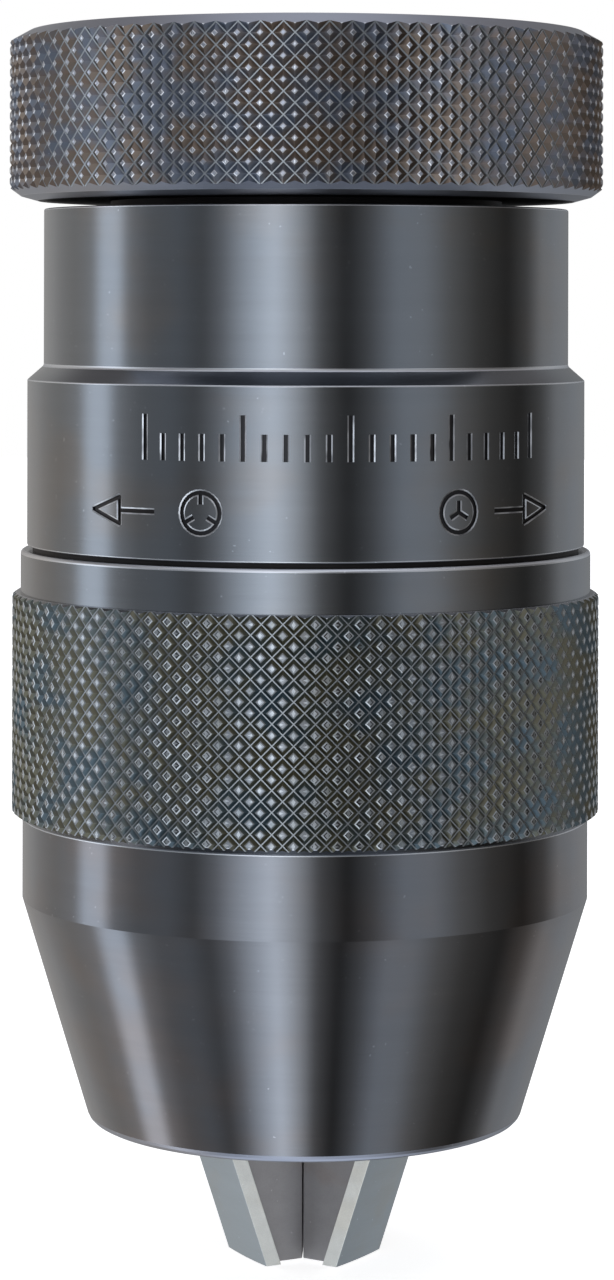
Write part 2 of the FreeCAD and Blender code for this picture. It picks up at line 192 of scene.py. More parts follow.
def noise(graph, vector, scale, detail, roughness):
    sockets = {"Vector": vector, "Scale": scale, "Detail": detail, "Roughness": roughness}
    return graph.add("ShaderNodeTexNoise", {"noise_dimensions": "3D"}, sockets, "Fac")


def newMaterial(name):
    material = bpy.data.materials.new(name)
    material.use_nodes = True
    return material, Graph(material.node_tree), material.node_tree.nodes["Principled BSDF"]


def steel(name, **changes):
    s = {**steelBase, **changes}
    material, graph, shader = newMaterial(name)
    links = material.node_tree.links
    spot = millimetres(graph)
    # soft patches of blue and brown, long round the part and short along it
    flat = stretched(graph, spot, 1, s["patchFlatness"])
    patches = noise(graph, flat, 1 / s["patchSize"], 3, 0.55)
    brown = patches.between(0.62 - s["warmShare"] * 0.4, 0.80 - s["warmShare"] * 0.3)
    tint = graph.mix(brown * s["patchContrast"], s["cool"], s["warm"])
    # turning and grinding lines that run round the axis, on round faces and flat ones alike
    across = stretched(graph, spot, 1, 0)
    radius = graph.add("ShaderNodeVectorMath", {"operation": "LENGTH"}, {0: across}, "Value")
    axial = graph.add("ShaderNodeSeparateXYZ", {}, {0: spot}, "Z")
    section = graph.add("ShaderNodeCombineXYZ", {}, {"X": radius, "Z": axial})
    drift = stretched(graph, spot, s["lineDrift"], 0)
    section = graph.add("ShaderNodeVectorMath", {"operation": "ADD"}, {0: section, 1: drift})
    lines = noise(graph, section, 1 / s["lineSpacing"], 2, 0.6)
    wide = noise(graph, section, s["wideScale"], 2, 0.5)
    tone = 1 + (lines - 0.5) * s["lineShade"] + (wide - 0.5) * s["lineShade"]
    # tiny bright nicks
    specks = noise(graph, spot, s["speckScale"], 1, 0.4).between(0.76, 0.80) * s["specks"]
    skin = graph.shade(tint, tone + specks * s["speckShine"])
    smudges = noise(graph, stretched(graph, spot, 1, 0.6), s["smudgeScale"], 4, 0.6)
    rough = s["roughness"] + (smudges - 0.5) * (2 * s["roughnessSpread"])
    rough = rough + (lines - 0.5) * s["lineRoughness"]
    if s["crest"]:
        # painted shade and highlight: the knurl's flanks are painted darker, and its tips and the
        # floors of its grooves painted bright
        depth = s["depth"]
        valley = s["crest"] - depth
        tips = radius.between(s["crest"] - 0.15 * depth, s["crest"] - 0.10 * depth)
        floors = 1 - radius.between(valley + 0.02 * depth, valley + 0.09 * depth)
        floors = (floors * (0.5 + patches)).clamped()
        skin = graph.mix(floors, graph.shade(skin, s["flankShade"]), s["groove"])
        # painted highlight on the tips, patchy, and a little smoother there
        highlightMask = (tips * (noise(graph, spot, s["highlightScale"], 1, 0.5) * 2.2 - 0.25)).clamped()
        skin = graph.mix(highlightMask, skin, s["worn"])
        rough = rough - highlightMask * s["highlightPolish"]
    sockets = {"Height": lines + specks * 0.5, "Distance": s["lineDepth"] * mm, "Strength": 1.0}
    bump = graph.add("ShaderNodeBump", {}, sockets)
    links.new(skin.socket, shader.inputs["Base Color"])
    links.new(rough.clamped(0.05, 1).socket, shader.inputs["Roughness"])
    links.new(bump.socket, shader.inputs["Normal"])
    shader.inputs["Metallic"].default_value = s["metal"]
    return material


finishes = {
    "darkSteel": steel("darkSteel"),
    # painted shade and highlight on both knurls: flanks darker, tips and groove floors brighter
    "ringKnurl": steel(
        "ringKnurl", cool=colour(0.22, 0.25, 0.31), warm=colour(0.28, 0.22, 0.175),
        patchSize=4, patchContrast=0.95, warmShare=0.65, roughness=0.38,
        crest=25, depth=0.42, flankShade=0.72, worn=colour(0.72, 0.74, 0.78)),
    "gripKnurl": steel(
        "gripKnurl", cool=colour(0.17, 0.23, 0.265), warm=colour(0.245, 0.232, 0.165),
        patchSize=5, patchContrast=0.95, warmShare=0.65, roughness=0.38,
        crest=24.7, depth=0.34, flankShade=0.62, worn=colour(0.44, 0.47, 0.50)),
    # painted highlight: a pale steel for small rounded corners
    "wornEdge": steel(
        "wornEdge", cool=colour(0.62, 0.64, 0.68), warm=colour(0.62, 0.58, 0.56), roughness=0.32),
    "hoodSteel": steel(
        "hoodSteel", cool=colour(0.172, 0.180, 0.198), warm=colour(0.215, 0.178, 0.162),
        warmShare=0.55, roughness=0.135),
    # painted light: a lighter, bluer steel for the ring's smooth faces and the hood's nose
    # rounding, where light from below catches them
    "paintedLightFace": steel(
        "paintedLightFace", cool=colour(0.34, 0.36, 0.42), warm=colour(0.33, 0.31, 0.32), roughness=0.3),
    # painted shade: a near-black steel for faces in the narrow gaps, where shade falls
    "paintedShadeSteel": steel(
        "paintedShadeSteel", cool=colour(0.035, 0.033, 0.034), warm=colour(0.045, 0.036, 0.032),
        roughness=0.55, roughnessSpread=0.08),
    # painted shade and highlight: the engraved trenches are painted dark and their flared rims
    # bright
    "markSteel": steel(
        "markSteel", cool=colour(0.10, 0.10, 0.11), warm=colour(0.11, 0.09, 0.08), roughness=0.4,
        lineShade=0.0, crest=23.47, depth=0.5, flankShade=0.35, worn=colour(0.62, 0.64, 0.68)),
    # painted light: the jaws' outward backs in a lighter copy of the jaw steel, and their side
    # strips brighter still, partly their ground finish and partly painted highlight
    "jawBackPaintedLight": steel(
        "jawBackPaintedLight", cool=colour(0.35, 0.40, 0.44), warm=colour(0.36, 0.37, 0.36), patchSize=6,
        metal=0.75, roughness=0.42, lineSpacing=0.12, lineDepth=0.002),
    "jawEdgeGroundAndHighlight": steel(
        "jawEdgeGroundAndHighlight", cool=colour(0.74, 0.76, 0.74), warm=colour(0.72, 0.70, 0.62), patchSize=5,
        metal=0.3, roughness=0.45, lineSpacing=0.10, lineDepth=0.003, lineShade=0.22),
    "jawSteel": steel(
        "jawSteel", cool=colour(0.38, 0.37, 0.38), warm=colour(0.37, 0.32, 0.30), patchSize=6,
        metal=0.8, roughness=0.42, lineSpacing=0.12, lineDepth=0.002, lineShade=0.16),
    "machinedSteel": steel(
        "machinedSteel", cool=colour(0.38, 0.39, 0.40), warm=colour(0.36, 0.34, 0.31),
        roughness=0.34, lineSpacing=0.16, lineDepth=0.004, lineShade=0.18),
    "raceSteel": steel(
        "raceSteel", cool=colour(0.56, 0.57, 0.59), warm=colour(0.54, 0.52, 0.50),
        roughness=0.14, lineShade=0.05, specks=0.1),
    "ballSteel": steel(
        "ballSteel", cool=colour(0.66, 0.67, 0.69), warm=colour(0.64, 0.63, 0.62),
        roughness=0.07, roughnessSpread=0.02, lineShade=0.0, lineDepth=0.0, specks=0.0),
    "bronze": steel(
        "bronze", cool=colour(0.55, 0.36, 0.17), warm=colour(0.42, 0.23, 0.09), patchSize=4,
        roughness=0.38, lineSpacing=0.2, lineDepth=0.003, lineShade=0.15, specks=0.3),
}


def felt(name):
    s = {"pale": colour(0.30, 0.28, 0.25), "dark": colour(0.12, 0.11, 0.10), "fibre": 5.0,
         "clump": 0.8, "loft": 0.05, "roughness": 0.95}
    material, graph, shader = newMaterial(name)
    spot = millimetres(graph)
    fibres = noise(graph, spot, s["fibre"], 5, 0.7)
    clumps = noise(graph, spot, s["clump"], 2, 0.5)
    tint = graph.mix((fibres * 0.6 + clumps * 0.4).between(0.35, 0.65), s["dark"], s["pale"])
    sockets = {"Height": fibres, "Distance": s["loft"] * mm, "Strength": 1.0}
    bump = graph.add("ShaderNodeBump", {}, sockets)
    material.node_tree.links.new(tint.socket, shader.inputs["Base Color"])
    material.node_tree.links.new(bump.socket, shader.inputs["Normal"])
    shader.inputs["Roughness"].default_value = s["roughness"]
    return material


finishes["felt"] = felt("felt")
print("finishes:", len(finishes))


def objectFrom(name, mesh, materials=()):
    piece = bpy.data.objects.new(name, mesh)
    bpy.context.scene.collection.objects.link(piece)
    for material in materials:
        mesh.materials.append(finishes[material])
    return piece


def settled(piece):
    # the mesh with its modifiers worked in, and none left
    depsgraph = bpy.context.evaluated_depsgraph_get()
    mesh = bpy.data.meshes.new_from_object(piece.evaluated_get(depsgraph), depsgraph=depsgraph)
    piece.modifiers.clear()
    piece.data = mesh
    return piece


def corner(before, here, after, radius, steps=4):
    # the points of an arc that rounds one corner of a profile
    toBefore = (before - here).normalized()
    toAfter = (after - here).normalized()
    half = toBefore.angle(toAfter) / 2
    room = min((before - here).length, (after - here).length) * 0.49
    reach = min(radius / math.tan(half), room)
    start = here + toBefore * reach
    end = here + toAfter * reach
    centre = here + (toBefore + toAfter).normalized() * (reach / math.cos(half))
    first = start - centre
    sweep = first.angle_signed(end - centre)
    return [centre + Matrix.Rotation(-sweep * step / steps, 2) @ first for step in range(steps + 1)]


def rounded(profile, wornBelow=0.4):
    # profile rows are (radius, height) or (radius, height, corner radius), in mm;
    # the corners rounded by less than the given limit get a painted highlight
    rows = [(Vector(row[:2]), row[2] if len(row) > 2 else 0) for row in profile]
    points = []
    worn = set()
    for index, (here, radius) in enumerate(rows):
        before = rows[index - 1][0]
        after = rows[(index + 1) % len(rows)][0]
        if radius:
            arc = corner(before, here, after, radius)
            if radius < wornBelow:
                worn.update(range(len(points), len(points) + len(arc) - 1))
            points.extend(arc)
        else:
            points.append(here)
    return points, worn


def turned(name, profile, materials, segments=288):
    # a closed profile of (radius, height) turned about Z; the profile runs outwards along the top
    points, worn = rounded(profile)
    # small rounded corners take the painted-highlight finish, where the piece has one
    edgeFinish = materials.index("wornEdge") if "wornEdge" in materials else 0
    mesh = bpy.data.meshes.new(name)
    bm = bmesh.new()
    rings = []
    for step in range(segments):
        angle = 2 * math.pi * step / segments
        across = Vector((math.sin(angle), -math.cos(angle), 0))
        spots = [across * (point.x * mm) + Vector((0, 0, point.y * mm)) for point in points]
        rings.append([bm.verts.new(spot) for spot in spots])
    for step, ring in enumerate(rings):
        following = rings[(step + 1) % segments]
        for index in range(len(points)):
            after = (index + 1) % len(points)
            side = bm.faces.new((ring[index], ring[after], following[after], following[index]))
            side.material_index = edgeFinish if index in worn else 0
    bmesh.ops.recalc_face_normals(bm, faces=bm.faces)
    bm.to_mesh(mesh)
    bm.free()
    return objectFrom(name, mesh, materials)


def finishedAs(tool, materials, finish):
    # a tool leaves its own finish on what it cuts
    tool.data.materials.clear()
    for material in materials:
        tool.data.materials.append(finishes[material])
    for polygon in tool.data.polygons:
        polygon.material_index = materials.index(finish)
    return tool


def cut(piece, tool, crossing=False):
    # crossing says that the tool's own parts run through each other
    boolean = piece.modifiers.new("cut", "BOOLEAN")
    boolean.operation = "DIFFERENCE"
    boolean.solver = "EXACT"
    boolean.use_self = crossing
    boolean.material_mode = "INDEX"
    boolean.object = tool
    settled(piece)
    bpy.data.objects.remove(tool)
    return piece


def turnedNormals(piece, slack=math.radians(2.5)):
    # faces that lie on a turned surface are shaded as that surface, and the others stay flat
    mesh = piece.data
    normals = [None] * len(mesh.loops)
    for polygon in mesh.polygons:
        polygon.use_smooth = True
        middle = Vector((polygon.center.x, polygon.center.y, 0))
        flat = Vector((polygon.normal.x, polygon.normal.y, 0))
        outward = middle.normalized() if middle.length else Vector((1, 0, 0))
        onTurned = flat.length < 1e-4 or min(flat.angle(outward), flat.angle(-outward)) < slack
        across = flat.dot(outward)
        for loop in polygon.loop_indices:
            spot = mesh.vertices[mesh.loops[loop].vertex_index].co
            radial = Vector((spot.x, spot.y, 0)).normalized()
            turnedNormal = radial * across + Vector((0, 0, polygon.normal.z))
            onSurface = onTurned and turnedNormal.length
            normals[loop] = turnedNormal.normalized() if onSurface else polygon.normal
    mesh.normals_split_custom_set(normals)
    return piece


def standsFor(piece, node):
    # a finished piece that stands for a CAD node and rides on its body
    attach(piece, bodyOf[node])
    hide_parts(node)
    print("piece:", piece.name, len(piece.data.polygons), "faces for", node)
    return piece


def newTree(name, sizes):
    # an empty tree with named inputs, as a graph and the inputs' wires
    tree = bpy.data.node_groups.new(name, "GeometryNodeTree")
    for size, kind in sizes.items():
        tree.interface.new_socket(size, in_out="INPUT", socket_type=f"NodeSocket{kind}")
    tree.interface.new_socket("Mesh", in_out="OUTPUT", socket_type="NodeSocketGeometry")
    graph = Graph(tree)
    entry = graph.add("NodeGroupInput", {}, {})
    return graph, {size: graph.other(entry, size) for size in sizes}


def knurlTree():
    s = {"flankShare": 0.86, "join": 0.005}
    graph, size = newTree("knurl", {
        "Around": "Int", "Rows": "Int", "Radius": "Float", "Depth": "Float", "Groove": "Float",
        "Shoulder": "Float", "Tip": "Float", "Height": "Float", "Finish": "Material"})
    diagonal = 2 * math.pi * size["Radius"] / size["Around"]

    # one diamond: a flat groove floor, four flanks, four shallow facets and a blunt tip
    sockets = {"Vertices": 4, "Radius": diagonal * 0.5}
    diamond = graph.add("GeometryNodeMeshCircle", {"fill_type": "NGON"}, sockets)
    floor = graph.add("GeometryNodeExtrudeMesh", {}, {"Mesh": diamond, "Offset Scale": 0.0})
    inner = graph.other(floor, "Top")
    sockets = {"Geometry": floor, "Selection": inner, "Scale": 1 - size["Groove"]}
    tile = graph.add("GeometryNodeScaleElements", {}, sockets)
    up = graph.add("ShaderNodeCombineXYZ", {}, {"Z": 1.0})
    for share, taper in ((s["flankShare"], "Shoulder"), (1 - s["flankShare"], "Tip")):
        rise = size["Depth"] * share
        sockets = {"Mesh": tile, "Selection": inner, "Offset": up, "Offset Scale": rise}
        raised = graph.add("GeometryNodeExtrudeMesh", {}, sockets)
        inner = graph.other(raised, "Top")
        sockets = {"Geometry": raised, "Selection": inner, "Scale": size[taper]}
        tile = graph.add("GeometryNodeScaleElements", {}, sockets)

    # every other row moves along by half a diamond
    sockets = {"Size X": diagonal * (size["Around"] - 1), "Vertices X": size["Around"],
               "Size Y": diagonal * 0.5 * (size["Rows"] - 1), "Vertices Y": size["Rows"]}
    lattice = graph.add("GeometryNodeMeshGrid", {}, sockets)
    row = graph.add("GeometryNodeInputIndex", {}, {}) % size["Rows"]
    shift = graph.add("ShaderNodeCombineXYZ", {}, {"X": (row % 2) * diagonal * 0.5})
    lattice = graph.add("GeometryNodeSetPosition", {}, {"Geometry": lattice, "Offset": shift})
    diamonds = graph.add("GeometryNodeInstanceOnPoints", {}, {"Points": lattice, "Instance": tile})
    sheet = graph.add("GeometryNodeRealizeInstances", {}, {"Geometry": diamonds})
    sockets = {"Geometry": sheet, "Distance": s["join"] * mm}
    sheet = graph.add("GeometryNodeMergeByDistance", {}, sockets)

    # the flat sheet is wrapped round the part
    position = graph.add("GeometryNodeInputPosition", {}, {})
    along = graph.add("ShaderNodeSeparateXYZ", {}, {0: position}, "X")
    angle = along / size["Radius"]
    radius = size["Radius"] - size["Depth"] + graph.other(along, "Z")
    sine = graph.add("ShaderNodeMath", {"operation": "SINE"}, {0: angle})
    cosine = graph.add("ShaderNodeMath", {"operation": "COSINE"}, {0: angle})
    height = graph.other(along, "Y") + size["Height"]
    sockets = {"X": radius * sine, "Y": radius * cosine * -1, "Z": height}
    wrapped = graph.add("ShaderNodeCombineXYZ", {}, sockets)
    tube = graph.add("GeometryNodeSetPosition", {}, {"Geometry": sheet, "Position": wrapped})
    sockets = {"Geometry": tube, "Distance": s["join"] * mm}
    tube = graph.add("GeometryNodeMergeByDistance", {}, sockets)
    tube = graph.add("GeometryNodeRealizeInstances", {}, {"Geometry": tube})
    tube = graph.add("GeometryNodeSetMaterial", {}, {"Geometry": tube, "Material": size["Finish"]})
    graph.add("NodeGroupOutput", {}, {"Mesh": tube})
    return graph.tree


def runTree(name, tree, values):
    # an object made by one tree, as a plain mesh
    piece = objectFrom(name, bpy.data.meshes.new(name))
    modifier = piece.modifiers.new(tree.name, "NODES")
    modifier.node_group = tree
    for item in tree.interface.items_tree:
        if item.in_out == "INPUT" and item.name in values:
            modifier[item.identifier] = values[item.name]
    return settled(piece)


knurl = knurlTree()


def knurlTool(name, s, radius, low, high, materials, finish):
    # the metal that the knurling takes away: a thick tube whose inside is the knurl;
    # a few rows more than the height needs, so that the tube's ends stand clear
    spareRows, wall = 5, 1 * mm
    diagonal = 2 * math.pi * radius / s["around"]
    rows = 2 * math.ceil((high - low) / diagonal) + spareRows
    values = {"Around": s["around"], "Rows": rows, "Radius": radius, "Depth": s["depth"] * mm,
              "Groove": s["groove"], "Shoulder": s["shoulder"], "Tip": s["tip"],
              "Height": (low + high) / 2, "Finish": finishes[finish]}
    tool = runTree(name, knurl, values)
    bm = bmesh.new()
    bm.from_mesh(tool.data)
    rims = [edge for edge in bm.edges if edge.is_boundary]
    outside = bmesh.ops.extrude_edge_only(bm, edges=rims)["geom"]
    for vertex in (item for item in outside if isinstance(item, bmesh.types.BMVert)):
        across = Vector((vertex.co.x, vertex.co.y, 0)).normalized() * (radius + wall)
        vertex.co = across + Vector((0, 0, vertex.co.z))
    rims = [edge for edge in bm.edges if edge.is_boundary]
    bmesh.ops.bridge_loops(bm, edges=rims)
    bmesh.ops.recalc_face_normals(bm, faces=bm.faces)
    bm.to_mesh(tool.data)
    bm.free()
    return finishedAs(tool, materials, finish)


def nodeEnds(node):
    # outer radius, bottom and top of a round node
    low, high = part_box(node)
    return high.x, low.z, high.z


def handRing():
    s = {
        "around": 86, "depth": 0.42, "groove": 0.07, "shoulder": 0.34, "tip": 0.62,
        "bore": 13.5, "hub": 16.5, "hubStep": 2.4,
        "topInset": 1.6, "topDrop": 0.9, "lowInset": 0.95, "lowDrop": 1.1,
        "faceInset": 2.4, "faceDrop": 0.4,
        "edge": 0.12, "mouth": 0.3, "gapSlack": 0.1,
    }
    radius, low, high = nodeEnds("rear_grip_ring")
    wide, top, bottom = radius / mm, high / mm, low / mm
    face = bottom + s["hubStep"]
    # painted light on the ring's smooth faces, painted highlight on its small corners and painted
    # shade in the gap
    materials = ["paintedLightFace", "ringKnurl", "paintedShadeSteel", "wornEdge"]
    ring = turned("handRing", [
        (s["bore"] + s["mouth"], top), (wide - s["topInset"], top, s["edge"]),
        (wide, top - s["topDrop"], s["edge"]), (wide, face + s["lowDrop"], s["edge"]),
        (wide - s["lowInset"], face + s["faceDrop"], s["edge"]),
        (wide - s["faceInset"], face, s["edge"]), (s["hub"], face), (s["hub"], bottom, s["edge"]),
        (s["bore"], bottom), (s["bore"], top - s["mouth"]),
    ], materials)
    cut(ring, knurlTool("ringKnurlTool", s, radius, face * mm, high, materials, "ringKnurl"))
    # painted shade: the faces in the gap above the sleeve are painted near-black
    gapRadius = (wide - s["faceInset"] + s["gapSlack"]) * mm
    for polygon in ring.data.polygons:
        middle = polygon.center
        if middle.z < (face + 0.02) * mm and middle.xy.length < gapRadius:
            polygon.material_index = materials.index("paintedShadeSteel")
    return standsFor(turnedNormals(ring), "rear_grip_ring")


handRing()


def gripSleeve():
    s = {
        "around": 90, "depth": 0.34, "groove": 0.07, "shoulder": 0.54, "tip": 0.66,
        "spigot": 21.2, "spigotLength": 10.47, "collar": 23.0, "collarHeight": 0.37,
        "band": 24.0, "bandHeight": 3.56, "edge": 0.12, "bandEdge": 0.3,
        "knurlInset": 0.7, "knurlDrop": 0.47, "bushBore": 18.0, "bushDepth": 17.9,
        "midBore": 20.5, "midDepth": 21.7, "threadBore": 22.3, "collarSlack": 0.05,
    }
    radius, low, high = nodeEnds("grip_sleeve")
    wide, top, bottom = radius / mm, high / mm, low / mm
    collarTop = top - s["spigotLength"]
    bandTop = collarTop - s["collarHeight"]
    knurlTop = bandTop - s["bandHeight"]
    # painted highlight on the small corners, painted shade on the collar
    materials = ["darkSteel", "gripKnurl", "wornEdge", "paintedShadeSteel"]
    sleeve = turned("gripSleeve", [
        (s["bushBore"], top), (s["spigot"], top, s["edge"]), (s["spigot"], collarTop),
        (s["collar"], collarTop), (s["collar"], bandTop), (s["band"], bandTop, s["bandEdge"]),
        (s["band"], knurlTop), (wide - s["knurlInset"] / 2, knurlTop, s["edge"]),
        (wide, knurlTop - s["knurlDrop"] / 2, s["edge"]),
        (wide, bottom + s["knurlDrop"], s["edge"]),
        (wide - s["knurlInset"], bottom, s["edge"]), (s["threadBore"], bottom),
        (s["threadBore"], top - s["midDepth"]), (s["midBore"], top - s["midDepth"]),
        (s["midBore"], top - s["bushDepth"]), (s["bushBore"], top - s["bushDepth"]),
    ], materials)
    tool = knurlTool("gripKnurlTool", s, radius, low, knurlTop * mm, materials, "gripKnurl")
    cut(sleeve, tool)
    # painted shade: the collar above the band is painted near-black
    for polygon in sleeve.data.polygons:
        middle = polygon.center
        onCollar = middle.xy.length < (s["collar"] + s["collarSlack"]) * mm
        if onCollar and bandTop * mm < middle.z < collarTop * mm:
            polygon.material_index = materials.index("paintedShadeSteel")
    return standsFor(turnedNormals(sleeve), "grip_sleeve")


gripSleeve()


def engravingTool(strokes, radius, s, materials):
    # each straight bit of a stroke is a short bar that follows the sleeve: a flare over a trench
    section = [(s["flare"], -s["proud"]), (s["flare"], 0), (s["trench"], s["flareDepth"]),
               (s["floor"], s["markDepth"])]
    section += [(-across, depth) for across, depth in reversed(section)]
    mesh = bpy.data.meshes.new("engravingTool")
    bm = bmesh.new()
    for points, closed in strokes:
        ends = points + points[:1] if closed else points
        for start, end in zip(ends, ends[1:]):
            start, end = Vector(start), Vector(end)
            along = (end - start).normalized()
            side = Vector((-along.y, along.x))
            start, end = start - along * s["overrun"], end + along * s["overrun"]
            steps = math.ceil((end - start).length / s["barStep"])
            rings = []
            for step in range(steps + 1):
                ring = []
                for across, depth in section:
                    flat = start.lerp(end, step / steps) + side * across
                    angle = flat.x / radius
                    out = (radius - depth) * mm
                    spot = (out * math.sin(angle), -out * math.cos(angle), flat.y * mm)
                    ring.append(bm.verts.new(spot))
                rings.append(ring)
            for first, second in zip(rings, rings[1:]):
                for index in range(len(section)):
                    after = (index + 1) % len(section)
                    bm.faces.new((first[index], first[after], second[after], second[index]))
            bm.faces.new(rings[0])
            bm.faces.new(rings[-1])
    bmesh.ops.recalc_face_normals(bm, faces=bm.faces)
    bm.to_mesh(mesh)
    bm.free()
    return finishedAs(objectFrom("engravingTool", mesh), materials, "markSteel")


def arrow(tip, height, way, s):
    # an outlined head with a short shaft behind it
    back = tip - way * s["arrowHead"]
    half = s["arrowHalf"]
    return [
        ([(tip, height), (back, height + half), (back, height - half)], True),
        ([(back, height), (tip - way * s["arrowLength"], height)], False),
    ]


def jawSign(middle, height, inner, outer, s):
    # a round with three strokes: far apart for open jaws, close together for closed ones
    def spot(degrees, radius):
        angle = math.radians(degrees)
        return (middle + radius * math.cos(angle), height + radius * math.sin(angle))

    count = s["signCorners"]
    ring = ([spot(360 * step / count, s["signRadius"]) for step in range(count)], True)
    return [ring] + [([spot(angle, inner), spot(angle, outer)], False) for angle in (90, 210, 330)]


def openingScale(s):
    # evenly spaced strokes, with every fifth one longer
    strokes = []
    for step in range(s["scaleCount"]):
        x = s["scaleStart"] + step * s["scaleStep"]
        length = s["scaleLong"] if step % 5 == 0 else s["scaleShort"]
        foot = s["scaleHeight"] - s["scaleLong"] / 2
        strokes.append(([(x, foot), (x, foot + length)], False))
    return strokes


def upperSleeve():
    s = {
        "lipBore": 16.8, "lip": 2.33, "narrow": 22.1, "step": 13.13, "stepHeight": 1.2,
        "bush": 15.5, "webHeight": 2.8, "bearingBore": 20.0, "spigotDepth": 17.73,
        "threadBore": 21.2, "edge": 0.15, "neckEdge": 0.35, "markHeight": -39.2,
        "flare": 0.27, "trench": 0.16, "floor": 0.12, "flareDepth": 0.05, "markDepth": 0.16,
        "proud": 0.1, "overrun": 0.12, "barStep": 0.8,
        "openTip": -18.1, "closeTip": 23.6, "arrowLength": 6.3, "arrowHead": 2.9, "arrowHalf": 1.05,
        "openSign": -7.6, "closeSign": 13.6,
        "signRadius": 1.6, "signMiddle": 0.8, "signCorners": 28,
        "scaleStart": -12.6, "scaleStep": 1.7, "scaleCount": 21, "scaleHeight": -33.3,
        "scaleLong": 3.4, "scaleShort": 1.9,
    }
    radius, low, high = nodeEnds("rear_sleeve")
    wide, top, bottom = radius / mm, high / mm, low / mm
    webBottom = top - s["lip"] - s["webHeight"]
    # painted shade and highlight in the engraving, painted highlight on the small corners
    materials = ["darkSteel", "markSteel", "wornEdge"]
    sleeve = turned("upperSleeve", [
        (s["lipBore"], top), (s["narrow"], top, s["edge"]),
        (s["narrow"], top - s["step"], s["neckEdge"]),
        (wide, top - s["step"] - s["stepHeight"], s["edge"]), (wide, bottom, s["edge"]),
        (s["threadBore"], bottom), (s["threadBore"], top - s["spigotDepth"]),
        (s["bearingBore"], top - s["spigotDepth"]), (s["bearingBore"], webBottom),
        (s["bush"], webBottom), (s["bush"], top - s["lip"]), (s["lipBore"], top - s["lip"]),
    ], materials)
    height = s["markHeight"]
    marks = arrow(s["openTip"], height, -1, s) + arrow(s["closeTip"], height, 1, s)
    marks += jawSign(s["openSign"], height, s["signMiddle"], s["signRadius"], s)
    marks += jawSign(s["closeSign"], height, 0, s["signMiddle"], s)
    marks += openingScale(s)
    cut(sleeve, engravingTool(marks, wide, s, materials), crossing=True)
    return standsFor(turnedNormals(sleeve), "rear_sleeve")


upperSleeve()


def noseHood():
    s = {
        "spigot": 22.3, "spigotLength": 11.2, "coneDrop": 18.05,
        "noseRadius": 18.1, "noseRound": 0.9, "lightenedHeight": 0.6, "lightenedWidth": 1.0,
        "throat": 10.05, "bore": 20.5, "coneAngle": math.radians(19.2), "edge": 0.2,
        "grooveRadius": 21.2, "grooveTop": 1.7, "grooveEnd": 2.9,
    }
    radius, low, high = nodeEnds("cone_hood")
    wide, top, bottom = radius / mm, high / mm, low / mm
    coneEnd = bottom + (s["bore"] - s["throat"]) / math.tan(s["coneAngle"])
    # painted highlight on the small corners, painted light on the nose's rounding
    materials = ["hoodSteel", "wornEdge", "paintedLightFace"]
    hood = turned("noseHood", [
        (s["bore"], top), (s["spigot"], top), (s["spigot"], top - s["spigotLength"]),
        (wide, top - s["spigotLength"], s["edge"]), (wide, top - s["coneDrop"]),
        (s["noseRadius"], bottom, s["noseRound"]), (s["throat"], bottom, s["edge"]),
        (s["bore"], coneEnd), (s["bore"], top - s["grooveEnd"]),
        (s["grooveRadius"], top - s["grooveEnd"]), (s["grooveRadius"], top - s["grooveTop"]),
        (s["bore"], top - s["grooveTop"]),
    ], materials)
    # painted light: the nose's rounding is painted lighter
    lightenedTop = (bottom + s["lightenedHeight"]) * mm
    lightenedFrom = (s["noseRadius"] - s["lightenedWidth"]) * mm
    for polygon in hood.data.polygons:
        if polygon.center.z < lightenedTop and polygon.center.xy.length > lightenedFrom:
            polygon.material_index = materials.index("paintedLightFace")
    return standsFor(turnedNormals(hood), "cone_hood")


noseHood()


def jaws():
    s = {"edge": 0.09, "edgeFrom": 3.3, "join": 0.002, "backFacing": 0.8}
    materials = ["jawSteel", "jawBackPaintedLight", "jawEdgeGroundAndHighlight"]
    for number in (1, 2, 3):
        node = f"jaw_{number}"
        mesh = frame["nodes"][node].data.copy()
        mesh.materials.clear()
        piece = objectFrom(f"jaw{number}", mesh, materials)
        bm = bmesh.new()
        bm.from_mesh(mesh)
        bmesh.ops.remove_doubles(bm, verts=bm.verts, dist=s["join"] * mm)
        flat = math.radians(0.5)
        bmesh.ops.dissolve_limit(bm, angle_limit=flat, verts=bm.verts, edges=bm.edges)
        bm.to_mesh(mesh)
        bm.free()
        bevel = piece.modifiers.new("edges", "BEVEL")
        bevel.width = s["edge"] * mm
        bevel.segments = 2
        bevel.limit_method = "ANGLE"
        bevel.angle_limit = math.radians(25)
        settled(piece)
        # painted light: the flange's back is painted lighter than the flanks, and its two ground
        # edges brighter still, partly their ground finish and partly painted highlight
        low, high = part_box(node)
        outward = Vector(((low.x + high.x) / 2, (low.y + high.y) / 2, 0)).normalized()
        sideways = Vector((-outward.y, outward.x, 0))
        for polygon in piece.data.polygons:
            if polygon.normal.dot(outward) > s["backFacing"]:
                polygon.material_index = materials.index("jawBackPaintedLight")
            elif abs(polygon.center.dot(sideways)) > s["edgeFrom"] * mm:
                polygon.material_index = materials.index("jawEdgeGroundAndHighlight")
        piece.data.set_sharp_from_angle(angle=math.radians(20))
        standsFor(piece, node)


jaws()


